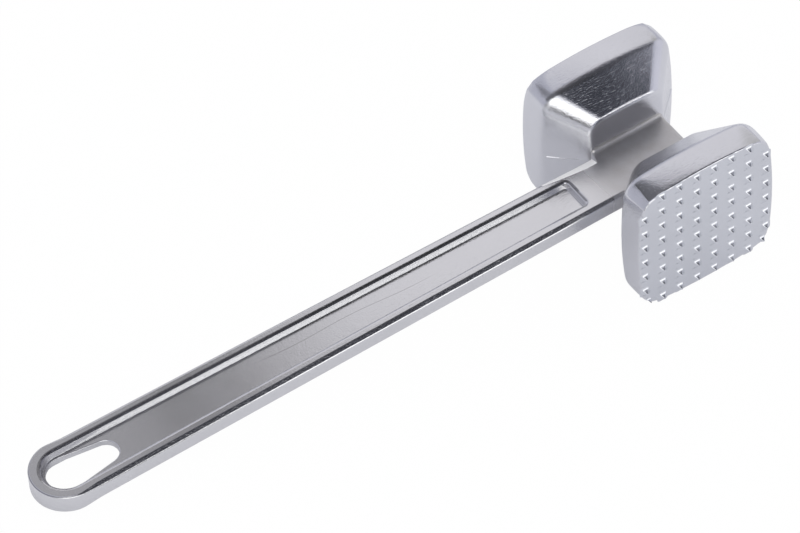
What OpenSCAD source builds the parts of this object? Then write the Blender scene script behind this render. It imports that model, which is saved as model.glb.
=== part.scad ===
// Two-headed meat tenderizer, cast in aluminium, lying on a table.
// Each piece is drawn with the middle of the head at the origin, the handle
// along -X, the fine teeth towards -Y and the coarse teeth towards +Y. The
// whole tool is then tipped until the heads and the handle's tip rest at Z = 0.

/* [Overall] */
// Length over all, from the handle's tip to the far side of the heads
total_len = 240; // [200:1:290]
// Distance between the two striking faces, without their teeth
head_span = 60.4; // [54:0.2:72]

/* [Striking plates] */
// Side of a striking plate, across the middle of its bulged sides
plate_side = 49.2; // [44:0.2:58]
// Thickness of a striking plate
plate_t = 9.4; // [7:0.2:12]
// How far the middle of each side bulges out
side_bulge = 1.7; // [1.3:0.1:2.4]
// Leg of the cut across each corner of a plate
corner_cut = 3; // [2:0.2:5]

/* [Fine teeth] */
// Distance from one fine tooth to the next
fine_pitch = 6.3; // [5:0.1:6.4]
// Fine teeth along each side
fine_rows = 8; // [4:1:8]
// Side of a fine tooth's square foot
fine_foot = 2.2; // [1.4:0.1:4]
// Height of a fine tooth
fine_tall = 1.5; // [0.8:0.1:3]

/* [Coarse teeth] */
// Distance from one coarse tooth to the next
coarse_pitch = 8.6; // [7.6:0.1:8.8]
// Coarse teeth along each side
coarse_rows = 5; // [3:1:5]
// Side of a coarse tooth's square foot
coarse_foot = 7.4; // [4:0.1:7.5]
// Height of a coarse tooth
coarse_tall = 3.5; // [2:0.1:5]

/* [Head bodies] */
// Width of a body's small end, along the handle
end_w = 26.4; // [22:0.2:32]
// Height of a body's small end
end_h = 31.2; // [24:0.2:36]
// Corner radius of a body's small end
end_round = 4; // [2:0.2:6]
// Distance between the two bodies' small ends
hub_gap = 20.4; // [19:0.2:25]

/* [Handle] */
// Thickness of the handle and of the hub
grip_t = 6.7; // [6:0.1:9]
// Width of the handle where it meets the hub
grip_w = 18; // [16:0.2:18.8]
// Width of the handle at its rounded tip
tip_w = 22; // [20:0.2:26]
// Radius along the handle's outer edges
edge_round = 1.4; // [0.6:0.1:2]
// Width of the rim that runs round the channel
rim_w = 3.4; // [2.6:0.1:4]
// Thickness of the web on the floor of the two channels
web_t = 2.2; // [1.6:0.1:3.6]
// Corner radius at the head end of the channel
pocket_round = 1.8; // [1:0.1:3]
// Length of full thickness between the hub and the channel
shoulder = 7; // [4:0.5:12]

/* [Hanging hole] */
// Radius of the hole's large end, near the tip
hole_r = 6.1; // [4.5:0.1:6.4]
// Radius of the hole's small end
hole_small_r = 4.2; // [3:0.1:5]
// Distance between the centres of the two ends
hole_len = 13; // [8:0.5:20]

/* [Joints] */
// Distance from the middle of the head to the joint of handle and hub
joint_x = 18; // [16.6:0.2:21]
// Length of the handle's tenon in the hub
tenon_len = 10; // [6:0.5:12]
// Width of that tenon
tenon_w = 10; // [6:0.5:12]
// Thickness of the tenon and of the hub's tongues
tenon_t = 3; // [2:0.1:4]
// Width of the hub's tongues in the two bodies
tongue_w = 18; // [12:0.5:20]
// Length of those tongues
tongue_len = 6; // [4:0.5:8]
// Diameter of the spigot between a body and its plate
spigot_d = 20; // [12:0.5:24]
// Length of that spigot
spigot_len = 5; // [3:0.5:6]
// Clearance on each side of every tenon, tongue and spigot
fit = 0.05; // [0.02:0.01:0.1]

/* [Hidden] */
$fn = 96;
metal = [0.77, 0.78, 0.81];
metal_plate = [0.73, 0.75, 0.79];
metal_body = [0.66, 0.67, 0.70];
deep = 1;
root = 0.2;
skin = 0.02;

// Plate outline: four arcs that meet at the corners, then the corner cuts.
half_side = plate_side / 2;
half_chord = half_side - side_bulge;
side_r = (half_chord * half_chord + side_bulge * side_bulge) / (2 * side_bulge);
corner_reach = 2 * half_chord - corner_cut;

// Lengths along the head's axis, measured from its middle.
face_y = head_span / 2;
crest_y = face_y - plate_t;
small_y = hub_gap / 2;

// Handle, seen from above.
tip_x = total_len - half_side;
tip_r = tip_w / 2;
tip_cx = -(tip_x - tip_r);
run = -tip_cx - joint_x;
taper = asin((tip_r - grip_w / 2) / run);
pocket_x = joint_x + shoulder;
half_t = grip_t / 2;
hub_x = end_w / 2;
blend_r = small_y - grip_w / 2;

// Angle at which the tool lies. The bulged lower side of the plates and the
// rounded lower edge of the tip touch the table at the same time.
lie_a = tip_x - edge_round;
lie_b = half_t - edge_round + side_r - half_side;
lie_c = side_r - edge_round;
lie = asin(lie_c / sqrt(lie_a * lie_a + lie_b * lie_b)) - atan2(lie_b, lie_a);
head_reach = side_r * (1 - cos(lie)) + half_side * cos(lie);
tip_reach = lie_a * cos(lie) + (half_t - edge_round) * sin(lie) + edge_round;
mid_x = (tip_reach - head_reach) / 2;
mid_y = -(coarse_tall - fine_tall) / 2;

module lying() {
    translate([mid_x, mid_y, head_reach])
        rotate([0, -lie, 0])
            children();
}

// Turns a flat drawing of X and Z so that it stands across the head's axis,
// from y0 on, towards +Y.
module across(y0, thick) {
    translate([0, y0 + thick, 0])
        rotate([90, 0, 0])
            linear_extrude(thick)
                children();
}

// The same drawing on the other side of the head.
module other_side() {
    mirror([0, 1, 0])
        children();
}

module side_disc(turn) {
    rotate(turn)
        translate([0, half_side - side_r])
            circle(side_r, $fn = 360);
}

module corner_square() {
    rotate(45)
        square(sqrt(2) * corner_reach, center = true);
}

module plate_outline() {
    intersection() {
        side_disc(0);
        side_disc(90);
        side_disc(180);
        side_disc(270);
        corner_square();
    }
}

module small_outline() {
    core_w = end_w - 2 * end_round;
    core_h = end_h - 2 * end_round;
    square([core_w, end_h], center = true);
    square([end_w, core_h], center = true);
    for (sx = [-1, 1], sz = [-1, 1])
        translate([sx * core_w / 2, sz * core_h / 2])
            circle(end_round, $fn = 32);
}

// A four-sided tooth that points towards +Y. Its sides run on into the plate.
module tooth(foot, tall) {
    low = foot / 2 * (tall + root) / tall;
    polyhedron(
        points = [
            [-low, -root, -low],
            [low, -root, -low],
            [low, -root, low],
            [-low, -root, low],
            [0, tall, 0]
        ],
        faces = [
            [3, 2, 1, 0],
            [0, 1, 4],
            [1, 2, 4],
            [2, 3, 4],
            [3, 0, 4]
        ]
    );
}

// The share of the teeth that stands inside the plate's outline.
module on_plate(tall) {
    intersection() {
        children();
        across(face_y - root, root + tall)
            plate_outline();
    }
}

module plate_solid() {
    difference() {
        across(crest_y, plate_t)
            plate_outline();
        translate([0, crest_y - deep, 0])
            rotate([-90, 0, 0])
                cylinder(h = deep + spigot_len + fit, d = spigot_d + 2 * fit);
    }
}

// The fine teeth leave out the two upper corners. The plate's corner cuts
// leave only a sliver of the lower two.
module fine_side() {
    last = fine_rows - 1;
    first = -last / 2 * fine_pitch;
    plate_solid();
    on_plate(fine_tall)
        for (i = [0:last], k = [0:last])
            if (k < last || (i > 0 && i < last))
                translate([first + i * fine_pitch, face_y, first + k * fine_pitch])
                    tooth(fine_foot, fine_tall);
}

module coarse_side() {
    last = coarse_rows - 1;
    first = -last / 2 * coarse_pitch;
    plate_solid();
    on_plate(coarse_tall)
        for (i = [0:last], k = [0:last])
            translate([first + i * coarse_pitch, face_y, first + k * coarse_pitch])
                tooth(coarse_foot, coarse_tall);
}

// Tapers from a plate's outline to the small end that meets the hub.
module body_solid() {
    difference() {
        union() {
            hull() {
                across(crest_y - skin, skin)
                    plate_outline();
                across(small_y, skin)
                    small_outline();
            }
            translate([0, crest_y - deep, 0])
                rotate([-90, 0, 0])
                    cylinder(h = deep + spigot_len, d = spigot_d);
        }
        translate([-tongue_w / 2 - fit, small_y - deep, -tenon_t / 2 - fit])
            cube([tongue_w + 2 * fit, deep + tongue_len + fit, tenon_t + 2 * fit]);
    }
}

// Rounded edge of the handle in section: x runs inwards up to reach, y up.
module edge_section(reach) {
    straight = grip_t - 2 * edge_round;
    translate([edge_round, -half_t])
        square([reach - edge_round, grip_t]);
    translate([0, -straight / 2])
        square([reach, straight]);
    for (s = [-1, 1])
        translate([edge_round, s * straight / 2])
            circle(edge_round);
}

// One side of the straight part, from its edge to just past the middle.
module straight_side() {
    translate([tip_cx, 0, 0])
        rotate([0, 0, -taper])
            translate([0, tip_r, 0])
                rotate([90, 0, 90])
                    linear_extrude(run + deep)
                        mirror([1, 0])
                            edge_section(tip_r + deep);
}

// More than a quarter of the round tip, from where the straight side starts.
module tip_side() {
    translate([tip_cx, 0, 0])
        rotate([0, 0, 90 - taper])
            rotate_extrude(angle = 100)
                translate([tip_r, 0])
                    mirror([1, 0])
                        edge_section(tip_r);
}

// Half of the bar, cut along the middle and where the hub starts.
module half_bar() {
    intersection() {
        union() {
            straight_side();
            tip_side();
        }
        translate([-tip_x - deep, 0, -grip_t])
            cube([tip_x + deep - joint_x, tip_w, 2 * grip_t]);
    }
}

// Half width of the handle at x, drawn in by the distance d from its edge.
function plan_y(d, x) = (tip_r - d) / cos(taper) - (x - tip_cx) * tan(taper);

// Plan of the channel. Its arcs stand proud of the corners that they round by
// a skin, so that each meets its straight lines at a clear angle.
module pocket_plan() {
    r = tip_r - rim_w;
    x_arc = -pocket_x - pocket_round;
    y_arc = plan_y(rim_w + pocket_round, x_arc);
    x_side = x_arc + pocket_round * sin(taper);
    y_side = plan_y(rim_w, x_side);
    translate([tip_cx, 0])
        circle(r + skin);
    for (s = [-1, 1])
        translate([x_arc, s * y_arc])
            circle(pocket_round + skin);
    polygon([
        [tip_cx + r * sin(taper), r * cos(taper)],
        [x_side, y_side],
        [-pocket_x, y_arc],
        [-pocket_x, -y_arc],
        [x_side, -y_side],
        [tip_cx + r * sin(taper), -r * cos(taper)]
    ]);
}

// Plan of the hanging hole: two circles and the lines that touch both.
module hole_plan() {
    lean = asin((hole_r - hole_small_r) / hole_len);
    far_x = tip_cx + hole_len;
    translate([tip_cx, 0])
        circle(hole_r + skin);
    translate([far_x, 0])
        circle(hole_small_r + skin);
    polygon([
        [tip_cx + hole_r * sin(lean), hole_r * cos(lean)],
        [far_x + hole_small_r * sin(lean), hole_small_r * cos(lean)],
        [far_x + hole_small_r * sin(lean), -hole_small_r * cos(lean)],
        [tip_cx + hole_r * sin(lean), -hole_r * cos(lean)]
    ]);
}

module handle_solid() {
    depth = (grip_t - web_t) / 2;
    difference() {
        union() {
            half_bar();
            mirror([0, 1, 0])
                half_bar();
            translate([-joint_x - deep, -tenon_w / 2, -tenon_t / 2])
                cube([deep + tenon_len, tenon_w, tenon_t]);
        }
        translate([0, 0, web_t / 2])
            linear_extrude(depth + deep)
                pocket_plan();
        translate([0, 0, -web_t / 2 - depth - deep])
            linear_extrude(depth + deep)
                pocket_plan();
        translate([0, 0, -web_t])
            linear_extrude(2 * web_t)
                hole_plan();
    }
}

// Short continuation of the handle's rounded edge on the hub.
module hub_edge() {
    translate([-joint_x, grip_w / 2, 0])
        rotate([90, 0, 90])
            linear_extrude(joint_x - hub_x)
                mirror([1, 0])
                    edge_section(3 * edge_round);
}

// Inner corner between the hub's side and a body's small end, from above.
module blend_plan() {
    translate([-hub_x - blend_r, grip_w / 2])
        difference() {
            translate([0, -skin])
                square([blend_r + skin, blend_r + skin]);
            translate([0, blend_r])
                circle(blend_r);
        }
}

module hub_solid() {
    difference() {
        union() {
            intersection() {
                translate([-hub_x, -small_y, -half_t])
                    cube([2 * hub_x, 2 * small_y, grip_t]);
                across(-small_y, 2 * small_y)
                    union() {
                        translate([-hub_x - deep, -half_t])
                            square([2 * hub_x + deep - edge_round, grip_t]);
                        translate([-hub_x - deep, -half_t + edge_round])
                            square([2 * hub_x + deep, grip_t - 2 * edge_round]);
                        for (s = [-1, 1])
                            translate([hub_x - edge_round, s * (half_t - edge_round)])
                                circle(edge_round);
                    }
            }
            hub_edge();
            mirror([0, 1, 0])
                hub_edge();
            translate([-joint_x, -grip_w / 2 + edge_round, -half_t])
                cube([joint_x - hub_x + deep, grip_w - 2 * edge_round, grip_t]);
            for (s = [0, 1])
                mirror([0, s, 0])
                    translate([0, 0, -half_t + edge_round])
                        linear_extrude(grip_t - 2 * edge_round)
                            blend_plan();
            translate([-tongue_w / 2, -small_y - tongue_len, -tenon_t / 2])
                cube([tongue_w, 2 * (small_y + tongue_len), tenon_t]);
        }
        translate([-joint_x - deep, -tenon_w / 2 - fit, -tenon_t / 2 - fit])
            cube([deep + tenon_len + fit, tenon_w + 2 * fit, tenon_t + 2 * fit]);
    }
}

module handle() {
    color(metal)
        lying()
            handle_solid();
}

module hub() {
    color(metal)
        lying()
            hub_solid();
}

module fine_body() {
    color(metal_body)
        lying()
            other_side()
                body_solid();
}

module fine_plate() {
    color(metal_plate)
        lying()
            other_side()
                fine_side();
}

module coarse_body() {
    color(metal_body)
        lying()
            body_solid();
}

module coarse_plate() {
    color(metal_plate)
        lying()
            coarse_side();
}

handle();
hub();
fine_body();
fine_plate();
coarse_body();
coarse_plate();
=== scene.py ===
"""Looks of a cast aluminium meat tenderizer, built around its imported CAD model.

Lengths are in millimetres in the tool's own frame: the middle of the head is
the origin, the handle runs along -X, the fine teeth point to -Y, and Z = 0 is
the middle of the handle's thickness. row() turns that into the row frame.
Materials, the stage and the camera are in metres in the row frame.
"""

from math import asin, atan2, cos, hypot, pi, radians, sin, sqrt, tan

import bmesh
import bpy
import numpy as np
from mathutils import Matrix, Vector


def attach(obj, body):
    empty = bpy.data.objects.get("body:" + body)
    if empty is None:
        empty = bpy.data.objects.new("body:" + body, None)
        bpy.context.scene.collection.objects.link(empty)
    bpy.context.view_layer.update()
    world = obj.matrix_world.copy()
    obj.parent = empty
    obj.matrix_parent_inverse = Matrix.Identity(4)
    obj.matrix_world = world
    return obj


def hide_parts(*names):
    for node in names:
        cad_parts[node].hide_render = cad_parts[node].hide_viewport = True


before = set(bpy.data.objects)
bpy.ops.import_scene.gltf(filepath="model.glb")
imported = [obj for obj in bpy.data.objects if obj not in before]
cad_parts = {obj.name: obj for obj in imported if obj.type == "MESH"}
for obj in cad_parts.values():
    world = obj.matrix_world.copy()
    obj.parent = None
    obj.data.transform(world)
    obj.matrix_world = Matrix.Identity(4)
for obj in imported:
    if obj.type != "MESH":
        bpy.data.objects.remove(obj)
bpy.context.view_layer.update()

# Dimensions
TOTAL_LEN = 240.0
FACE_Y = 30.2  # half the head's length, without the teeth
PLATE_T = 9.4
CREST_Y = FACE_Y - PLATE_T  # crest between a plate and its body
SMALL_Y = 10.2  # small end of a body
HALF_SIDE = 24.6  # half a plate's width, at the middle of its sides
HALF_CHORD = 22.9  # the same at their ends
SIDE_BULGE = HALF_SIDE - HALF_CHORD
SIDE_R = (HALF_CHORD**2 + SIDE_BULGE**2) / (2 * SIDE_BULGE)
ARC_CX = HALF_SIDE - SIDE_R  # centre of the side at +X
CORNER_CUT = 3.0
CORNER_SUM = 2 * HALF_CHORD - CORNER_CUT  # |x| + |z| on a plate's cut corner
BODY_R = 7.2  # corner radius of a body at its crest
END_A, END_B, END_R = 13.2, 15.6, 5.2  # half sizes and corner radius of its small end
HALF_T = 3.35
EDGE_R = 1.4
GRIP_HALF = 9.0  # half the handle's width at the hub
TIP_R = 11.0
TIP_X = TOTAL_LEN - HALF_SIDE
TIP_CX = -(TIP_X - TIP_R)
JOINT_X = 18.0  # where the handle's piece meets the hub's
POCKET_X = 25.0  # end of the channel
WEB = 1.1  # half the thickness of the web
TAPER = asin((TIP_R - GRIP_HALF) / (-TIP_CX - JOINT_X))
HOLE_R, HOLE_SMALL_R, HOLE_LEN = 6.1, 4.2, 13.0  # radii of its two ends, and their distance
# pitch, number in a row, width at the foot, height and tip radius of the teeth
FINE_PITCH, FINE_ROWS, FINE_FOOT, FINE_TALL, FINE_TIP = 6.3, 8, 2.6, 1.5, 0.18
COARSE_PITCH, COARSE_ROWS, COARSE_FOOT, COARSE_TALL, COARSE_TIP = 8.6, 5, 5.6, 3.5, 0.3

# The tool lies with the heads and the tip of the handle on the table.
LIE_A = TIP_X - EDGE_R
LIE_B = HALF_T - EDGE_R + SIDE_R - HALF_SIDE
LIE = asin((SIDE_R - EDGE_R) / hypot(LIE_A, LIE_B)) - atan2(LIE_B, LIE_A)
HEAD_REACH = SIDE_R * (1 - cos(LIE)) + HALF_SIDE * cos(LIE)
TIP_REACH = LIE_A * cos(LIE) + (HALF_T - EDGE_R) * sin(LIE) + EDGE_R
SHIFT = np.array([(TIP_REACH - HEAD_REACH) / 2, -(COARSE_TALL - FINE_TALL) / 2, HEAD_REACH])
TURN = np.array([[cos(LIE), 0, -sin(LIE)], [0, 1, 0], [sin(LIE), 0, cos(LIE)]])


def row(points):
    """Points of the tool's own frame, in millimetres, to the row frame in metres."""
    return (np.asarray(points, float) @ TURN.T + SHIFT) / 1000


def smooth(t):
    """0 to 1 with a soft start and end."""
    return t * t * (3 - 2 * t)


# Materials
class Nodes:
    """Small helper that adds shader nodes and joins them."""

    def __init__(self, tree):
        self.tree = tree
        tree.nodes.clear()

    def add(self, kind, links=None, **values):
        """A new node, with links to its inputs and values for its settings or inputs."""
        node = self.tree.nodes.new(kind)
        for key, value in values.items():
            if hasattr(node, key):
                setattr(node, key, value)
            else:
                node.inputs[key].default_value = value
        for key, source in (links or {}).items():
            self.join(source, node.inputs[key])
        return node

    def join(self, source, target):
        out = source if isinstance(source, bpy.types.NodeSocket) else source.outputs[0]
        self.tree.links.new(out, target)

    def feed(self, node, terms):
        """Sets a node's first inputs to numbers or vectors, or joins them to other nodes."""
        for socket, term in zip(node.inputs, terms):
            if isinstance(term, (int, float, tuple)):
                socket.default_value = term
            else:
                self.join(term, socket)
        return node

    def math(self, operation, *terms, clamp=False):
        return self.feed(self.add("ShaderNodeMath", operation=operation, use_clamp=clamp), terms)

    def vector(self, operation, *terms):
        return self.feed(self.add("ShaderNodeVectorMath", operation=operation), terms)

    def spread(self, value, low, high, to_low=0.0, to_high=1.0, kind="SMOOTHSTEP"):
        """The range from low to high, mapped to the one from to_low to to_high."""
        node = self.add("ShaderNodeMapRange", {"Value": value}, interpolation_type=kind)
        ends = {"From Min": low, "From Max": high, "To Min": to_low, "To Max": to_high}
        for key, number in ends.items():
            node.inputs[key].default_value = number
        return node

    def blend(self, share, color, other):
        """Share of the plain colour other, mixed into a colour from another node."""
        node = self.add("ShaderNodeMix", {0: share}, data_type="RGBA")
        self.join(color, node.inputs[6])
        node.inputs[7].default_value = (*other, 1)
        return node.outputs[2]

    def noise(self, where, scale, detail, rough=0.5):
        links = {"Vector": where}
        return self.add("ShaderNodeTexNoise", links, Scale=scale, Detail=detail, Roughness=rough)

    def ramp(self, source, stops):
        """Colour ramp with stops of (place, grey or colour)."""
        node = self.add("ShaderNodeValToRGB", {0: source})
        band = node.color_ramp
        while len(band.elements) < len(stops):
            band.elements.new(0.5)
        for element, (at, value) in zip(band.elements, stops):
            element.position = at
            element.color = (*value, 1) if isinstance(value, tuple) else (value, value, value, 1)
        return node


def new_material(name):
    mat = bpy.data.materials.new(name)
    mat.use_nodes = True
    return mat, Nodes(mat.node_tree)


def long_mark(n, parts, tint):
    """Darkens one long thin scratch that wanders along the channel's floor."""
    x, y = parts.outputs[0], parts.outputs[1]
    slope, start = -0.035, -0.0002
    waves, swing = 150.0, -0.0004
    half_wide, wide_end = 0.00006, 0.00018
    middle, half_long, long_end = -0.014, 0.022, 0.033
    wave = n.math("SINE", n.math("MULTIPLY", x, waves))
    line = n.math("MULTIPLY_ADD", x, slope, start)
    path = n.math("MULTIPLY_ADD", wave, swing, line)
    aside = n.math("ABSOLUTE", n.math("SUBTRACT", y, path))
    thin = n.spread(aside, wide_end, half_wide, kind="LINEAR")
    along = n.math("ABSOLUTE", n.math("ADD", x, -middle))
    reach = n.spread(along, long_end, half_long, kind="LINEAR")
    return n.blend(n.math("MULTIPLY", thin, reach), tint, (0.52, 0.52, 0.52))


def tip_painted_shade(n, where, tint):
    """Painted shade inside the rim at the tip, around the hanging hole, for the shade under the
    handle that these walls reflect.
    """
    dark_r, dark_end = 0.0080, 0.0084
    from_x, full_x = -0.0005, -0.0045
    rays = n.vector("SUBTRACT", where, tuple(row([TIP_CX, 0.0, 0.0]).tolist()))
    flat = n.vector("MULTIPLY", rays, (1.0, 1.0, 0.0))
    inside = n.spread(n.vector("LENGTH", flat).outputs["Value"], dark_end, dark_r)
    split = n.add("ShaderNodeSeparateXYZ", {0: rays})
    back = n.spread(split.outputs[0], from_x, full_x)
    most = n.ramp(n.noise(where, 900.0, 4.0), [(0.3, 0.75), (0.7, 1.0)])
    dark_share = n.math("MULTIPLY", n.math("MULTIPLY", inside, back), most)
    return n.blend(dark_share, tint, (0.27, 0.265, 0.28))


BETWEEN_HEADS = (0.066, 0.086)  # X where the metal starts to turn dull and to get the painted shade between the heads, and where both are full
PATCH_SHADE = 0.94  # tone of a metal's darker patches


def metal(name, color, rough, grain, wave, scratch=0.0, cut=0.0, dull_head=0.0, metallic=1.0):
    """Cast aluminium: tinted patches, uneven gloss, fine grain and directional scratches.

    rough is (middle, spread), and grain is (scale, depth). Depths are in hundredths of a
    millimetre. dull_head is what is added to the roughness between the heads, and a metal
    that has it also gets a blotchy brown painted shade there, for the dark heads that the
    hub reflects, a scratch along the channel's floor and painted shade inside the tip's rim.
    """
    mat, n = new_material(name)
    where = n.add("ShaderNodeTexCoord").outputs["Object"]
    patch = n.noise(where, 45.0, 4.0)
    tint = n.ramp(patch, [(0.3, tuple(c * PATCH_SHADE for c in color)), (0.7, color)])
    middle, change = rough
    gloss = n.spread(patch, 0.3, 0.7, middle - change, middle + change, kind="LINEAR")
    dull = gloss
    if dull_head:
        parts = n.add("ShaderNodeSeparateXYZ", {0: where})
        added = n.spread(parts.outputs[0], *BETWEEN_HEADS, 0.0, dull_head)
        dull = n.math("ADD", gloss, added)
        # blotchy brown painted shade on the hub, for the dark heads that its top reflects
        blot = n.noise(where, 210.0, 5.0, 0.6)
        hub_shade_blots = n.math("MULTIPLY", added, blot)
        hub_painted_shade = n.math("MULTIPLY", hub_shade_blots, 1.1 / dull_head, clamp=True)
        tint = n.blend(hub_painted_shade, tint, (0.56, 0.54, 0.515))
        tint = long_mark(n, parts, tint)
        # painted shade inside the tip's rim, for the shade under the handle that it reflects
        tint = tip_painted_shade(n, where, tint)
    # pits of the casting, its soft waves, fine polishing lines and a few longer cuts
    grain_scale, grain_depth = grain
    fine = n.noise(where, grain_scale, 4.0, 0.6)
    soft = n.noise(where, grain_scale * 0.16, 2.0)
    stretch = n.add("ShaderNodeMapping", {"Vector": where}, Scale=(150.0, 2300.0, 2300.0))
    lines = n.noise(stretch, 1.0, 3.0, 0.65)
    few = n.add(
        "ShaderNodeMapping",
        {"Vector": where},
        Rotation=(0.3, -0.2, 0.12),
        Scale=(360.0, 2900.0, 2900.0),
    )
    cuts = n.ramp(n.noise(few, 1.0, 1.0), [(0.56, 0.0), (0.72, 1.0)])
    depth = n.math("MULTIPLY", fine, grain_depth)
    for relief, amount in ((soft, wave), (lines, scratch), (cuts, -cut)):
        depth = n.math("MULTIPLY_ADD", relief, amount, depth)
    bump = n.add("ShaderNodeBump", {"Height": depth}, Strength=1.0, Distance=0.00001)
    shader = n.add(
        "ShaderNodeBsdfPrincipled",
        {"Base Color": tint, "Roughness": dull, "Normal": bump},
        Metallic=metallic,
    )
    n.add("ShaderNodeOutputMaterial", {"Surface": shader})
    mat.diffuse_color = (*color, 1)
    return mat


POLISHED = metal(
    "polished_cast",
    (0.73, 0.735, 0.765),
    rough=(0.08, 0.02),
    grain=(2600.0, 4.6),
    wave=2.5,
    scratch=2.6,
    cut=1.2,
)
MATTE = metal(
    "matte_cast",
    (0.71, 0.725, 0.76),
    rough=(0.22, 0.04),
    grain=(1700.0, 4.0),
    wave=3.0,
)
SATIN = metal(
    "satin_cast",
    (0.76, 0.76, 0.77),
    rough=(0.15, 0.03),
    grain=(2200.0, 3.0),
    wave=1.0,
    scratch=1.5,
    cut=0.5,
    dull_head=0.25,
)
# darker copy of the satin metal, with coarse grain: painted shade for the dark reflections in the
# handle's outer bevel and on the far wall inside its rim
PAINTED_DARK_EDGE = metal(
    "painted_dark_edge",
    (0.40, 0.40, 0.41),
    rough=(0.12, 0.03),
    grain=(1600.0, 9.0),
    wave=6.0,
    scratch=2.0,
    cut=1.0,
    dull_head=0.10,
)
# near-white, barely metallic copy: a painted highlight on the wider bevel of the far edge beside
# the far head
PAINTED_HIGHLIGHT = metal(
    "painted_highlight_edge",
    (0.97, 0.97, 0.97),
    rough=(0.45, 0.08),
    grain=(1400.0, 9.0),
    wave=4.0,
    scratch=2.0,
    metallic=0.15,
)
BAR_METALS = [SATIN, PAINTED_DARK_EDGE, PAINTED_HIGHLIGHT]  # of the handle and the hub
# material numbers of the painted shade on the dark bands and of the painted highlight on the far
# bevel
AS_PAINTED_DARK, AS_PAINTED_HIGHLIGHT = 1, 2


# Mesh utilities
def make_piece(name, shells, node, materials):
    """One object from shells of (points, faces, material index)."""
    points, faces, slots = [], [], []
    for shell_points, shell_faces, index in shells:
        base = sum(len(p) for p in points)
        points.append(np.asarray(shell_points, float))
        faces += [[base + i for i in f] for f in shell_faces]
        slots += index if isinstance(index, list) else [index] * len(shell_faces)
    mesh = bpy.data.meshes.new(name)
    mesh.from_pydata(row(np.concatenate(points)).tolist(), [], faces)
    for m in materials:
        mesh.materials.append(m)
    mesh.polygons.foreach_set("material_index", slots)
    bm = bmesh.new()
    bm.from_mesh(mesh)
    bmesh.ops.remove_doubles(bm, verts=bm.verts, dist=1e-8)
    bmesh.ops.recalc_face_normals(bm, faces=bm.faces)
    bm.to_mesh(mesh)
    bm.free()
    mesh.shade_smooth()
    mesh.set_sharp_from_angle(angle=radians(38))
    obj = bpy.data.objects.new(name, mesh)
    bpy.context.collection.objects.link(obj)
    even = obj.modifiers.new("even_normals", "WEIGHTED_NORMAL")
    even.keep_sharp = True
    even.weight = 80
    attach(obj, "root")
    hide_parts(node)


def skin(loops, ring=False):
    """Quads between closed loops of equal length. Unless they form a ring, the last two
    faces are the flat caps on the first and the last loop."""
    count = len(loops[0])
    points = np.concatenate(loops)
    faces = []
    for k in range(len(loops) if ring else len(loops) - 1):
        a = k * count
        b = ((k + 1) % len(loops)) * count
        for i in range(count):
            j = (i + 1) % count
            faces.append([a + i, a + j, b + j, b + i])
    if not ring:
        faces.append(list(range(count)))
        faces.append(list(range(len(points) - count, len(points))))
    return points, faces


def bezier(p0, p1, p2, t):
    return (1 - t) ** 2 * p0 + 2 * t * (1 - t) * p1 + t * t * p2


def lengths(points):
    """Distance along a line of points, from its start to each of them."""
    return np.concatenate([[0], np.cumsum(np.linalg.norm(np.diff(points, axis=0), axis=1))])


# Heads
N_SIDE = 12
N_CORNER = 9
# shares of half a side, close together at its middle, where the parting line runs
SIDE_STEPS = np.concatenate([[0, 0.012, 0.024], np.linspace(0.07, 1, N_SIDE - 2)])


def around(quadrant):
    """Closed loop from the points of one quadrant, from the +X axis to the +Z axis."""
    q = np.asarray(quadrant, float)
    back = q[::-1]
    return np.concatenate(
        [q[:-1], (back * [-1, 1])[:-1], (q * [-1, -1])[:-1], (back * [1, -1])[:-1]]
    )


def around_twice(half):
    """Closed loop from the points between the +X axis and the diagonal."""
    return around(half + [[z, x] for x, z in half[::-1]][1:])


def side_points(end_z):
    """Points on the +X side's arc from z = 0 to end_z."""
    top = asin(end_z / SIDE_R)
    return [[ARC_CX + SIDE_R * cos(top * s), SIDE_R * sin(top * s)] for s in SIDE_STEPS]


def wall_outline(droop, reach, cut):
    """Plate outline: bulged sides whose ends turn down by droop over reach, and cut corners."""
    steps = 12
    soft = 0.3  # rounding between a side and the cut
    bend = asin(HALF_CHORD / SIDE_R) - reach / SIDE_R
    half = side_points(SIDE_R * sin(bend))
    x, z = half[-1]
    total = CORNER_SUM - cut
    bent = [half[-1]]
    for k in range(5 * steps):
        lean = bend + droop * min((k + 0.5) / steps, 1)
        if x + z >= total:
            break
        x -= sin(lean) * reach / steps
        z += cos(lean) * reach / steps
        bent.append([x, z])
    over = (x + z - total) / (cos(lean) - sin(lean))
    bent[-1] = [x + sin(lean) * over, z - cos(lean) * over]
    edge = np.array(bent)
    far = lengths(edge)
    for spot in np.linspace(0, far[-1] - soft, N_CORNER - 4)[1:]:
        half.append([np.interp(spot, far, edge[:, 0]), np.interp(spot, far, edge[:, 1])])
    last = edge[-1]
    middle = np.array([total / 2, total / 2])
    way = (middle - last) / np.linalg.norm(middle - last)
    start = np.array(half[-1])
    for t in (0.5, 1.0):
        half.append(list(bezier(start, last, last + way * soft, t)))
    begin = np.array(half[-1])
    for t in (0.5, 1.0):
        half.append(list(begin + (middle - begin) * t))
    return around_twice(half)


def round_outline(r):
    """The same bulged sides with round corners of radius r."""
    # the corner's centre (a, a) is SIDE_R - r from the centre of the side's arc
    b = -ARC_CX
    c = (ARC_CX**2 - (SIDE_R - r) ** 2) / 2
    a = (-b + sqrt(b * b - 4 * c)) / 2
    lean = atan2(a, a - ARC_CX)
    half = side_points(a + r * sin(lean))
    for s in np.linspace(0, 1, N_CORNER)[1:]:
        t = lean + (pi / 4 - lean) * s
        half.append([a + r * cos(t), a + r * sin(t)])
    return around_twice(half)


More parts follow.
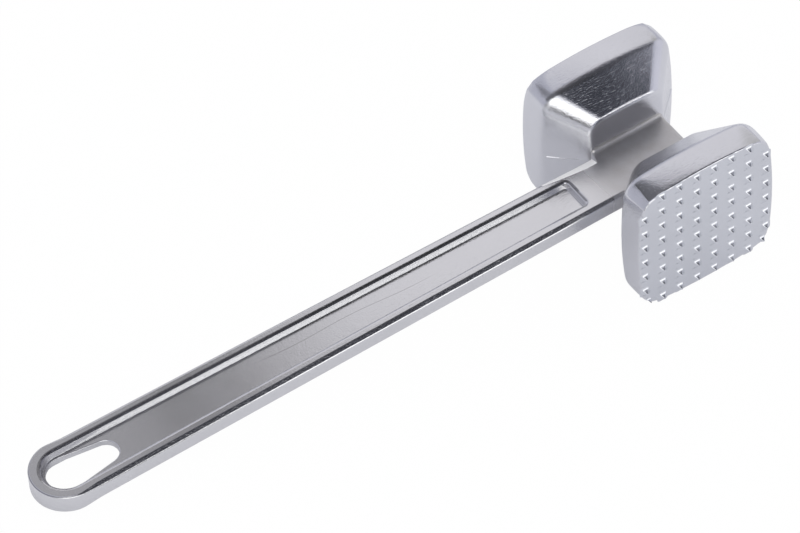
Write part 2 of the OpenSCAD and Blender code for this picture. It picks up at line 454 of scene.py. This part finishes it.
def small_outline():
    """Outline of a body's small end, with as many points as the others."""
    a, b, r = END_A, END_B, END_R
    q = [[a, (b - r) * s] for s in SIDE_STEPS]
    for s in np.linspace(0, 1, 2 * N_CORNER - 1)[1:-1]:
        t = pi / 2 * s
        q.append([a - r + r * cos(t), b - r + r * sin(t)])
    q += [[(a - r) * s, b] for s in SIDE_STEPS[::-1]]
    return around(q)


def at(outline, y):
    """Outline of X and Z, placed at y along the head's axis."""
    return np.column_stack([outline[:, 0], np.full(len(outline), y), outline[:, 1]])


def inset(outline, d):
    """Outline drawn in by d along its own normals."""
    along = np.roll(outline, -1, 0) - np.roll(outline, 1, 0)
    along /= np.linalg.norm(along, axis=1)[:, None]
    return outline + np.column_stack([-along[:, 1], along[:, 0]]) * d


FACE_LINE = wall_outline(droop=radians(22), reach=9.0, cut=0.05)
BODY = round_outline(BODY_R)
SMALL = small_outline()
FACE_ROUND = 0.55
CROWN = 0.15  # how far the walls swell between the face and the crest
CREST_ROUND = 1.5
END_ROUND = 1.1
SEAM = 0.13  # share of a body's slope that belongs to the plate's piece
PARTING = 0.16  # height of the parting line
SOFTEN = 0.6  # share by which a plate's wall has come to its body's outline at the crest
TOOTH_MARGIN = 0.9  # |x| + |z| of a corner tooth stays this much below CORNER_SUM
FINE_SHIFT = 0.45  # of the whole fine grid, towards the handle
CORNER_TOOTH_IN = 1.1  # how far the small corner teeth stand in, both ways


def add_parting(loop, height):
    """Thin raised parting line at z = 0 on the two X sides of a loop."""
    loop[0, 0] += height
    loop[len(loop) // 2, 0] -= height


def head_loops(crest_line, early):
    """Loops of the plate's and the body's piece, from the face, for a head that points to +Y.

    The walls go from the face's outline to crest_line, sooner where early is below 1.
    """
    loops = []
    for t in np.linspace(0, pi / 2, 6):
        d = FACE_ROUND * (1 - sin(t)) + CROWN
        loops.append(at(inset(FACE_LINE, d), FACE_Y - FACE_ROUND * (1 - cos(t))))
    y_low = CREST_Y + CREST_ROUND
    y_high = FACE_Y - FACE_ROUND
    for t in np.linspace(0, 1, 9)[1:]:
        y = y_high + (y_low - y_high) * t
        side = (y - (FACE_Y + CREST_Y) / 2) / (PLATE_T / 2)
        outline = FACE_LINE + (crest_line - FACE_LINE) * t**early
        outline = outline + (BODY - outline) * SOFTEN * t**3
        loops.append(at(inset(outline, CROWN * side * side), y))
    crest = at(inset(BODY, CROWN), CREST_Y)
    small = at(SMALL, SMALL_Y)
    slope = small - crest
    length = np.linalg.norm(slope, axis=1)[:, None]
    start = loops[-1]
    after = crest + slope / length * CREST_ROUND
    for t in np.linspace(0, 1, 7)[1:]:
        loops.append(bezier(start, crest, after, t))
    body = [crest + slope * s for s in (SEAM, 0.45, 0.7)]
    # the parting line is strongest at the seam, and fades on the plate
    for loop, height in zip(body, (2 * PARTING, PARTING, PARTING)):
        add_parting(loop, height)
    loops.append(body[0])
    before = small - slope / length * END_ROUND
    inner = at(inset(SMALL, END_ROUND), SMALL_Y)
    for t in np.linspace(0, 1, 7):
        body.append(bezier(before, small, inner, t))
    body.append(at(inset(SMALL, END_ROUND + 1.5), SMALL_Y))
    return loops, body


def tooth_shell(cx, cz, foot, tall, tip_r, in_corner=False):
    """One pyramid tooth with soft ridges, a blunt tip and a flared foot, on the face at FACE_Y."""
    half = foot / 2
    # half width, height, and the share of that half width that its corners round off
    rings = [
        (tip_r * 0.30, tall, 0.8),
        (tip_r * 0.75, tall - tip_r * 0.25, 0.6),
        (tip_r * 1.10, tall - tip_r * 0.75, 0.5),
        (half * 0.42, tall * 0.60, 0.36),
        (half * 0.72, tall * 0.30, 0.30),
        (half * 0.98, tall * 0.11, 0.30),
        (half * 1.22, tall * 0.035, 0.34),
        (half * 1.46, tall * 0.006, 0.45),
        (half * 1.52, -0.03, 0.5),
    ]
    loops = []
    for r, h, share in rings:
        soft = r * share
        pts = []
        for corner in range(4):
            for s in (0.0, 0.25, 0.5, 0.75, 1.0):
                a = pi / 2 * (corner + s)
                x = (r - soft) * (1 if corner in (0, 3) else -1) + soft * cos(a)
                z = (r - soft) * (1 if corner in (0, 1) else -1) + soft * sin(a)
                pts.append([cx + x, FACE_Y + h, cz + z])
        loops.append(np.array(pts))
    points, faces = skin(loops)
    return (corner_clip(points) if in_corner else points), faces


def corner_clip(points):
    """Moves what stands out too far at the plate's cut corner back inside it."""
    out = points.copy()
    over = np.abs(out[:, 0]) + np.abs(out[:, 2]) - (CORNER_SUM - TOOTH_MARGIN)
    push = np.clip(over, 0, None) / 2
    out[:, 0] -= np.sign(out[:, 0]) * push
    out[:, 2] -= np.sign(out[:, 2]) * push
    return out


def build_head(label, sign, crest_line, early, teeth):
    """Plate and body of the head that points to +Y or, where sign is -1, to -Y."""
    loops, body = head_loops(crest_line, early)
    flip = np.array([1, sign, 1])
    points, faces = skin(loops)
    index = [0] * len(faces)
    index[-2] = 1  # the toothed face
    shells = [(points * flip, faces, index)]
    shells += [(points * flip, faces, 1) for points, faces in teeth]
    plate, body_node = label + "_plate", label + "_body"
    make_piece(plate + "_looks", shells, plate, [POLISHED, MATTE])
    points, faces = skin(body)
    make_piece(
        body_node + "_looks", [(points * flip, faces, 0)], body_node, [POLISHED]
    )


def fine_teeth():
    """The two upper corner teeth are missing, and the lower ones are small and cut."""
    small_foot, small_tall, small_tip = 2.0, FINE_TALL * 0.9, 0.16
    first = -(FINE_ROWS - 1) / 2 * FINE_PITCH
    out = []
    for i in range(FINE_ROWS):
        for k in range(FINE_ROWS):
            end = i in (0, FINE_ROWS - 1)
            if end and k == FINE_ROWS - 1:
                continue
            x, z = first + i * FINE_PITCH - FINE_SHIFT, first + k * FINE_PITCH
            if end and k == 0:
                x, z = x - np.sign(x) * CORNER_TOOTH_IN, z + CORNER_TOOTH_IN
                out.append(tooth_shell(x, z, small_foot, small_tall, small_tip, in_corner=True))
            else:
                out.append(tooth_shell(x, z, FINE_FOOT, FINE_TALL, FINE_TIP))
    return out


def coarse_teeth():
    """Five rows of five, cut at the plate's corners."""
    first = -(COARSE_ROWS - 1) / 2 * COARSE_PITCH
    ends = (0, COARSE_ROWS - 1)
    out = []
    for i in range(COARSE_ROWS):
        for k in range(COARSE_ROWS):
            x, z = first + i * COARSE_PITCH, first + k * COARSE_PITCH
            in_corner = i in ends and k in ends
            out.append(tooth_shell(x, z, COARSE_FOOT, COARSE_TALL, COARSE_TIP, in_corner))
    return out


# each plate has its own corners at the crest
fine_crest = wall_outline(droop=radians(18), reach=7.0, cut=0.1)
coarse_crest = round_outline(r=6.2)
build_head("fine", -1, fine_crest, early=1.5, teeth=fine_teeth())
build_head("coarse", 1, coarse_crest, early=0.4, teeth=coarse_teeth())

# Handle
N_LONG = 40
N_TIP = 24
N_TURN = 7
N_END = 6
RIM_IN = 2.5  # from the outline to where the rim turns down into the channel
RIM_END = 0.6  # from the channel's end to where its rim turns down
RIM_END_R, FLOOR_END_R = 2.3, 0.6  # corner radii of that end, at the rim and on the floor
SIDE_Z = 0.35  # upper edge of the band round the middle of the handle's side
BEVEL = radians(40)
WALL_LEAN = radians(75)
FLOOR_ROUND = 0.5
HOLE_ROUND = 0.35


def plan_y(d, x):
    """Half width of the handle at x, drawn in by d."""
    return (TIP_R - d) / cos(TAPER) - (x - TIP_CX) * tan(TAPER)


def close_half(half, z):
    """Closed loop at height z from its half at +Y, which starts and ends on the X axis."""
    half = np.array(half)
    other = (half[::-1] * [1, -1])[1:-1]
    loop = np.concatenate([half, other])
    return np.column_stack([loop, np.full(len(loop), z)])


def grip_loop(d, z, end_x, turn_r):
    """Closed loop of the handle's plan drawn in by d, ending at end_x with corners of turn_r."""
    r = TIP_R - d
    half = []
    for s in np.linspace(0, 1, N_TIP + 1)[:-1]:
        a = pi - (pi / 2 + TAPER) * s
        half.append([TIP_CX + r * cos(a), r * sin(a)])
    x_tan = TIP_CX + r * sin(TAPER)
    x_arc = end_x - turn_r
    y_arc = plan_y(d + turn_r, x_arc)
    x_side = x_arc + turn_r * sin(TAPER)
    for s in np.linspace(0, 1, N_LONG):
        x = x_tan + (x_side - x_tan) * s
        half.append([x, plan_y(d, x)])
    for s in np.linspace(0, 1, N_TURN)[1:]:
        if turn_r > 0:
            a = (pi / 2 - TAPER) * (1 - s)
            half.append([x_arc + turn_r * cos(a), y_arc + turn_r * sin(a)])
        else:
            half.append([end_x, y_arc * (1 - 0.3 * s)])
    y_last = half[-1][1]
    for s in np.linspace(0, 1, N_END + 1)[1:]:
        half.append([end_x, y_last * (1 - s)])
    return close_half(half, z)


def hole_loop(grow, z, count):
    """Teardrop loop of the hanging hole, starting at the tip's side, going the same way round."""
    big, small, far = HOLE_R + grow, HOLE_SMALL_R + grow, HOLE_LEN
    lean = asin((HOLE_R - HOLE_SMALL_R) / far)
    half = []
    for s in np.linspace(0, 1, 25):
        a = pi - (pi / 2 + lean) * s
        half.append([TIP_CX + big * cos(a), big * sin(a)])
    x0, y0 = TIP_CX + big * sin(lean), big * cos(lean)
    x1, y1 = TIP_CX + far + small * sin(lean), small * cos(lean)
    for s in np.linspace(0, 1, 9)[1:]:
        half.append([x0 + (x1 - x0) * s, y0 + (y1 - y0) * s])
    for s in np.linspace(0, 1, 13)[1:]:
        a = (pi / 2 - lean) * (1 - s)
        half.append([TIP_CX + far + small * cos(a), small * sin(a)])
    half = np.array(half)
    steps = lengths(half)
    spots = np.linspace(0, steps[-1], count // 2 + 1)
    half = np.column_stack([np.interp(spots, steps, half[:, k]) for k in (0, 1)])
    return close_half(half, z)


def profile(turns):
    """Points (inset, drop) of an edge that is made of arcs and flats.

    An arc is (radius, first angle, last angle, steps), and a flat is (length, angle).
    """
    inset_by, drop = 0.0, 0.0
    out = [(0.0, 0.0)]
    for turn in turns:
        if len(turn) == 2:
            length, lean = turn
            inset_by += length * cos(lean)
            drop += length * sin(lean)
            out.append((inset_by, drop))
            continue
        radius, first, last, count = turn
        for k in range(1, count + 1):
            a = first + (last - first) * k / count
            ahead, down = sin(a) - sin(first), cos(first) - cos(a)
            out.append((inset_by + radius * ahead, drop + radius * down))
        inset_by, drop = out[-1]
    return out


# bevelled long edge, EDGE_R wide and high
LONG_EDGE = profile([(0.6, 0, BEVEL, 4), (0.9156, BEVEL), (0.876, BEVEL, pi / 2, 6)])
# the far edge has a wider bevel beside the far head, between these places along X, and a painted
# highlight on it
WIDE_BEVEL_FROM, WIDE_BEVEL_TO = -30.0, -13.9
WIDE_BEVEL_STEPS = [(WIDE_BEVEL_FROM, 1.5, 0.6), (-26.0, 6.0, 0.8)]  # from X, over a length, by a share
HIGHLIGHT_TOP, HIGHLIGHT_DROP = 0.01, 0.95  # the faces with the painted highlight lie this far below the top
HIGHLIGHT_SPARE = 0.1
# the edge gets smaller from here towards the tip, over a length, by a share
CRISP_X, CRISP_LEN, CRISP_LESS = TIP_CX + 6, 9, 0.6


def bevel_widening(x):
    """How many times wider than elsewhere the far edge's bevel is at x."""
    x = np.asarray(x, float)
    wider = 1
    for start, length, share in WIDE_BEVEL_STEPS:
        wider = wider + share * np.clip((x - start) / length, 0, 1)
    return wider


def mark_painted_highlight(points, faces, index):
    """Gives the faces of the wider far bevel the near-white material of the painted highlight."""
    for i, face in enumerate(faces):
        x, y, z = np.mean([points[j] for j in face], axis=0)
        inner = GRIP_HALF - EDGE_R * float(bevel_widening(x)) - HIGHLIGHT_SPARE
        on_bevel = HALF_T - HIGHLIGHT_DROP < z < HALF_T - HIGHLIGHT_TOP
        if WIDE_BEVEL_FROM < x < WIDE_BEVEL_TO and y > inner and on_bevel:
            index[i] = AS_PAINTED_HIGHLIGHT


def rim_profile():
    """Points (inset, drop) from the rim's crest down the channel's wall to its floor."""
    rim = profile([(1.9, 0, BEVEL, 8), (0.3, BEVEL, WALL_LEAN, 3)])
    wall_drop = HALF_T - WEB - rim[-1][1] - FLOOR_ROUND * (1 - cos(WALL_LEAN))
    foot_in, foot_drop = rim[-1][0] + wall_drop / tan(WALL_LEAN), rim[-1][1] + wall_drop
    rim.append((foot_in, foot_drop))
    for a in np.linspace(WALL_LEAN, 0, 5)[1:]:
        ahead, down = sin(WALL_LEAN) - sin(a), cos(a) - cos(WALL_LEAN)
        rim.append((foot_in + FLOOR_ROUND * ahead, foot_drop + FLOOR_ROUND * down))
    return rim


def handle_loops():
    """Loops over the top half, from the edge of the hanging hole to the outside, and the
    numbers of those that start the bands with painted shade."""
    count = len(grip_loop(0, 0, -JOINT_X, 0))
    loops = [hole_loop(0.0, 0.0, count), hole_loop(0.0, WEB - HOLE_ROUND, count)]
    for t in np.linspace(0, pi / 2, 5)[1:]:
        loops.append(hole_loop(HOLE_ROUND * (1 - cos(t)), WEB - HOLE_ROUND * (1 - sin(t)), count))
    for d, drop in rim_profile()[::-1]:
        corner_r = max(RIM_END_R - d, FLOOR_END_R)
        loops.append(grip_loop(RIM_IN + d, HALF_T - drop, -POCKET_X + RIM_END - d, corner_r))
    crest = len(loops)
    outline = grip_loop(0, SIDE_Z, -JOINT_X, 0)
    nearness = smooth(np.clip((CRISP_X - outline[:, 0]) / CRISP_LEN, 0, 1))
    crisp = 1 - CRISP_LESS * nearness
    wider = np.where(outline[:, 1] > 0, bevel_widening(outline[:, 0]), 1.0)
    for d, drop in LONG_EDGE:
        loop = grip_loop(EDGE_R - d, 0, -JOINT_X, 0)
        loop[:, :2] = outline[:, :2] + (loop[:, :2] - outline[:, :2]) * (crisp * wider)[:, None]
        loop[:, 2] = HALF_T - drop * crisp
        loops.append(loop)
    loops.append(outline)
    steep_inside, bevel = range(crest - 7, crest - 2), crest + 4
    return loops, steep_inside, bevel


def build_handle():
    """The bar with its channel and hole, from the loops of its top half and their mirror image."""
    top, painted_dark_inside, painted_dark_bevel = handle_loops()
    middle = [grip_loop(0, 0.0, -JOINT_X, 0)]
    bottom = [loop * [1, 1, -1] for loop in top[:0:-1]]
    points, faces = skin(top + middle + bottom, ring=True)
    count = len(top[0])
    index = [0] * len(faces)
    for k in (*painted_dark_inside, painted_dark_bevel):
        # inside the rim only the far side gets the painted shade of its dark reflection
        dark = count if k == painted_dark_bevel else count // 2
        # the same band on the upper and the lower side
        for start in (k * count, (len(top) * 2 - 1 - k) * count):
            index[start : start + dark] = [AS_PAINTED_DARK] * dark
    mark_painted_highlight(points, faces, index)
    make_piece("handle_looks", [(points, faces, index)], "handle", BAR_METALS)


build_handle()

# Hub
HUB_FILLET = 1.7  # between the hub's top and the bodies
FLARE = 1.2  # fillet between the hub's sides and the bodies
SINK = 0.4  # how far the hub's sides stand inside the bodies
JOIN_X, JOIN_LEN = -(END_A + 1.1), 2.4  # where its edge turns into the fillet at its top
N_FLAT = 7
N_DOWN = 4
N_ARC = len(LONG_EDGE)


def hub_quarter(x, wider):
    """Section of the hub at x, for y and z above zero, from the top middle outwards."""
    drop = 0.0
    if x > END_A - EDGE_R:
        a = min((x - END_A + EDGE_R) / EDGE_R, 1)
        drop = EDGE_R * (1 - sqrt(1 - a * a))
    top_z = HALF_T - drop
    wide = GRIP_HALF
    if x > -END_A - FLARE:
        a = min((x + END_A + FLARE) / FLARE, 1)
        wide = GRIP_HALF + FLARE * (1 - sqrt(max(1 - a * a, 0)))
    fillet_y, fillet_r = SMALL_Y - HUB_FILLET, HUB_FILLET + drop
    plain, joined = [], []
    for s in np.linspace(0, 1, N_FLAT):
        plain.append([(wide - EDGE_R * wider) * s, top_z])
        joined.append([fillet_y * s, top_z])
    for k in range(1, N_ARC):
        a = pi / 2 * k / (N_ARC - 1)
        out_by, down = LONG_EDGE[k]
        plain.append([wide - (EDGE_R - out_by) * wider, top_z - down])
        joined.append([fillet_y + fillet_r * sin(a), HALF_T + HUB_FILLET - fillet_r * cos(a)])
    z_plain, z_joined = plain[-1][1], joined[-1][1]
    for s in np.linspace(0, 1, N_DOWN)[1:]:
        plain.append([wide, z_plain * (1 - s)])
        joined.append([SMALL_Y + SINK + drop, z_joined * (1 - s)])
    t = smooth(min(max((x - JOIN_X) / JOIN_LEN, 0), 1))
    return np.array(plain) * (1 - t) + np.array(joined) * t


def hub_loop(x):
    """Closed section of the hub at x. Only its far side has the wider bevel with the painted
    highlight.
    """
    far, near = (
        np.concatenate([q, (q[::-1] * [1, -1])[1:]])
        for q in (hub_quarter(x, float(bevel_widening(x)) if x < 0 else 1.0), hub_quarter(x, 1.0))
    )
    loop = np.concatenate([far, (near[::-1] * [-1, 1])[1:-1]])
    return np.column_stack([np.full(len(loop), x), loop])


def build_hub():
    """The block between the heads, from sections along X."""
    # sections stand close together where the fillets start and at the rounded end
    stations = np.concatenate(
        [
            [-JOINT_X, -17.0, -16.0, -15.0],
            np.linspace(-14.4, -11.6, 15),
            [-9, -5, 0, 5, 9],
            END_A - EDGE_R + EDGE_R * np.sin(np.linspace(0, pi / 2, 8)),
        ]
    )
    points, faces = skin([hub_loop(x) for x in stations])
    index = [0] * len(faces)
    mark_painted_highlight(points, faces, index)
    make_piece("hub_looks", [(points, faces, index)], "hub", BAR_METALS)


build_hub()

# Stage
CARD_FAR = 0.22  # from the metal to the cards that hang in line with a reflection
CARD_SPARE = 1.3  # a card's length over that of its stops
CARD_SHARP = 0.65  # share of a card's width that doesn't fade
FLOOR_HALF, FLOOR_BELOW = 2.5, 0.0004
FLOOR_TO_CAMERA, FLOOR_TO_METAL = 0.985, 0.42  # share of its own light in either one's view
RIDGE_CARD_Z = 0.027
ROOM_TONE = (0.56, 0.566, 0.645)
# patches of the room: azimuth, elevation, inner and outer radius in degrees, tone
ROOM = [
    (110, 82, 6, 24, (0.21, 0.20, 0.21)),
    (55, 70, 10, 25, (0.09, 0.09, 0.105)),
    (352, 14, 16, 27, (1.5, 1.5, 1.5)),
    (22, 10, 15, 21, (1.65, 1.65, 1.65)),
    (328, 24, 15, 32, (1.7, 1.7, 1.7)),
    (298, 6, 12, 24, (0.42, 0.42, 0.44)),
    (22, 49, 9, 19, (0.045, 0.048, 0.06)),
    (137, 39, 24, 28, (0.83, 0.82, 0.86)),
    (110, 40, 6, 22, (0.54, 0.535, 0.53)),
    (75, 14, 14, 34, (0.76, 0.76, 0.85)),
]


def direction(azimuth, elevation):
    """Unit vector seen from the object: azimuth 0 is -Y, 90 is +X."""
    a, e = radians(azimuth), radians(elevation)
    return (sin(a) * cos(e), -cos(a) * cos(e), sin(e))


def stage_sheet(name, corners, mat, middle=(0, 0, 0)):
    """Flat sheet that stands around the object and isn't part of it."""
    mesh = bpy.data.meshes.new(name)
    mesh.from_pydata(corners, [], [[0, 1, 2, 3]])
    mesh.materials.append(mat)
    obj = bpy.data.objects.new(name, mesh)
    obj.location = middle
    bpy.context.collection.objects.link(obj)


def make_floor():
    """Nearly white to the camera, and pale with the object's shadow to everything else."""
    mat, n = new_material("floor_white")
    path = n.add("ShaderNodeLightPath")
    paper = n.add("ShaderNodeBsdfDiffuse", Color=(0.92, 0.92, 0.93, 1))
    seen = n.add("ShaderNodeEmission", Color=(1, 1, 1, 1), Strength=1.0)
    mirrored = n.add("ShaderNodeEmission", Color=(0.61, 0.615, 0.68, 1), Strength=1.0)
    to_camera = n.math("MULTIPLY", path.outputs["Is Camera Ray"], FLOOR_TO_CAMERA)
    to_metal = n.math("MULTIPLY", path.outputs["Is Glossy Ray"], FLOOR_TO_METAL)
    mix = n.add("ShaderNodeMixShader", {0: to_camera, 1: paper, 2: seen})
    last = n.add("ShaderNodeMixShader", {0: to_metal, 1: mix, 2: mirrored})
    n.add("ShaderNodeOutputMaterial", {"Surface": last})
    signs = ((-1, -1), (1, -1), (1, 1), (-1, 1))
    corners = [(u * FLOOR_HALF, v * FLOOR_HALF, -FLOOR_BELOW) for u, v in signs]
    stage_sheet("floor", corners, mat)


def make_world():
    """Room that the metal mirrors. Matt surfaces get even light, and the camera sees white."""
    world = bpy.data.worlds.new("studio")
    bpy.context.scene.world = world
    world.use_nodes = True
    n = Nodes(world.node_tree)
    way = n.add("ShaderNodeTexCoord").outputs["Generated"]
    base = n.add("ShaderNodeRGB").outputs[0]
    base.default_value = (*ROOM_TONE, 1)
    for azimuth, elevation, inner, outer, tone in ROOM:
        dot = n.vector("DOT_PRODUCT", way, direction(azimuth, elevation))
        share = n.spread(dot.outputs["Value"], cos(radians(outer)), cos(radians(inner)))
        base = n.blend(share, base, tone)
    light = n.add("ShaderNodeBackground", {"Color": base})
    plain = n.add("ShaderNodeBackground", Color=(1, 1, 1, 1))
    even = n.add("ShaderNodeBackground", Color=(0.97, 0.97, 0.99, 1))
    path = n.add("ShaderNodeLightPath")
    matt = n.add("ShaderNodeMixShader", {0: path.outputs["Is Diffuse Ray"], 1: light, 2: even})
    both = n.add("ShaderNodeMixShader", {0: path.outputs["Is Camera Ray"], 1: matt, 2: plain})
    n.add("ShaderNodeOutputWorld", {"Surface": both})


def make_flag(name, middle, along, across, stops, half_wide, slant=0.0):
    """Dark card seen only in the metal.

    It darkens by stops (place in mm, share) along its length, and fades at its sides.
    """
    low, high = stops[0][0] / 1000, stops[-1][0] / 1000
    reach = max(abs(low), abs(high)) * CARD_SPARE
    wide = half_wide / 1000
    corners = [(-reach, -wide), (reach, -wide), (reach, wide), (-reach, wide)]
    mat, n = new_material(name + "_black")
    where = n.add("ShaderNodeTexCoord").outputs["Object"]
    place = n.vector("DOT_PRODUCT", where, tuple((along + slant * across).tolist()))
    side = n.vector("DOT_PRODUCT", where, tuple(across.tolist()))
    spot = n.spread(place.outputs["Value"], low, high, kind="LINEAR")
    dark = n.ramp(spot, [((u / 1000 - low) / (high - low), amount) for u, amount in stops])
    fade = n.spread(n.math("ABSOLUTE", side.outputs["Value"]), wide, wide * CARD_SHARP)
    path = n.add("ShaderNodeLightPath")
    share = n.math("MULTIPLY", n.math("MULTIPLY", dark, fade), path.outputs["Is Glossy Ray"])
    clear = n.add("ShaderNodeBsdfTransparent")
    black = n.add("ShaderNodeEmission", Color=(0.05, 0.05, 0.05, 1))
    mix = n.add("ShaderNodeMixShader", {0: share, 1: clear, 2: black})
    n.add("ShaderNodeOutputMaterial", {"Surface": mix})
    points = [(u * along + v * across).tolist() for u, v in corners]
    stage_sheet(name, points, mat, middle.tolist())


make_floor()
make_world()

# the half of the handle near the tip mirrors a card that hangs beyond it
LONG = TURN @ np.array([1.0, 0, 0])
AWAY = np.array(direction(159, 53))
SIDEWAYS = np.cross(AWAY, LONG)
SIDEWAYS /= np.linalg.norm(SIDEWAYS)
make_flag(
    "flag_handle",
    row([-157.0, 0, HALF_T]) + AWAY * CARD_FAR,
    LONG,
    SIDEWAYS,
    [
        (-85, 0.45),
        (-36, 0.49),
        (-20, 0.58),
        (-6, 0.77),
        (6, 0.75),
        (15, 0.58),
        (32, 0.37),
        (46, 0.17),
        (62, 0.07),
        (85, 0.0),
    ],
    60,
)

# a small one stands over the hub, and darkens the corner of the near head's upper wall
make_flag(
    "flag_corner",
    row([-33.5, 9.0, 81.0]),
    LONG,
    np.array([0, 1.0, 0]),
    [
        (-50, 0.80),
        (9, 0.78),
        (20, 0.71),
        (27, 0.56),
        (32, 0.44),
        (40, 0.2),
        (45, 0.07),
        (52, 0.0),
    ],
    35,
    slant=0.95,
)

# an upright one stands where the far head's ridges mirror the end of the floor
LOW = np.array(direction(329, 0))
UP = np.array([0, 0, 1.0])
make_flag(
    "flag_ridge",
    row([-16.0, 17.0, 14.0]) * [1, 1, 0] + UP * RIDGE_CARD_Z + LOW * CARD_FAR,
    np.cross(UP, LOW),
    UP,
    [(-50, 0.0), (-35, 1.0), (35, 1.0), (50, 0.0)],
    35,
)

# Camera
SENSOR_WIDTH, LENS = 36.0, 237.745  # millimetres
CAMERA_AZIMUTH, CAMERA_ELEVATION, CAMERA_ROLL = -36.21273, 45.65045, 3.22312
CAMERA_PLACE = (-0.632044, -0.871373, 1.132023)


def make_camera():
    """Camera at the photograph's viewing angle."""
    data = bpy.data.cameras.new("camera")
    data.sensor_width = SENSOR_WIDTH
    data.lens = LENS
    data.clip_end = 10.0
    camera = bpy.data.objects.new("camera", data)
    bpy.context.collection.objects.link(camera)
    back = Vector(direction(CAMERA_AZIMUTH, CAMERA_ELEVATION))
    level = Vector((0, 0, 1)).cross(back).normalized()
    right = Matrix.Rotation(radians(CAMERA_ROLL), 3, back) @ level
    place = Matrix((right, back.cross(right), back)).transposed().to_4x4()
    place.translation = CAMERA_PLACE
    camera.matrix_world = place
    bpy.context.scene.camera = camera


make_camera()
bpy.context.scene.view_settings.view_transform = "Standard"
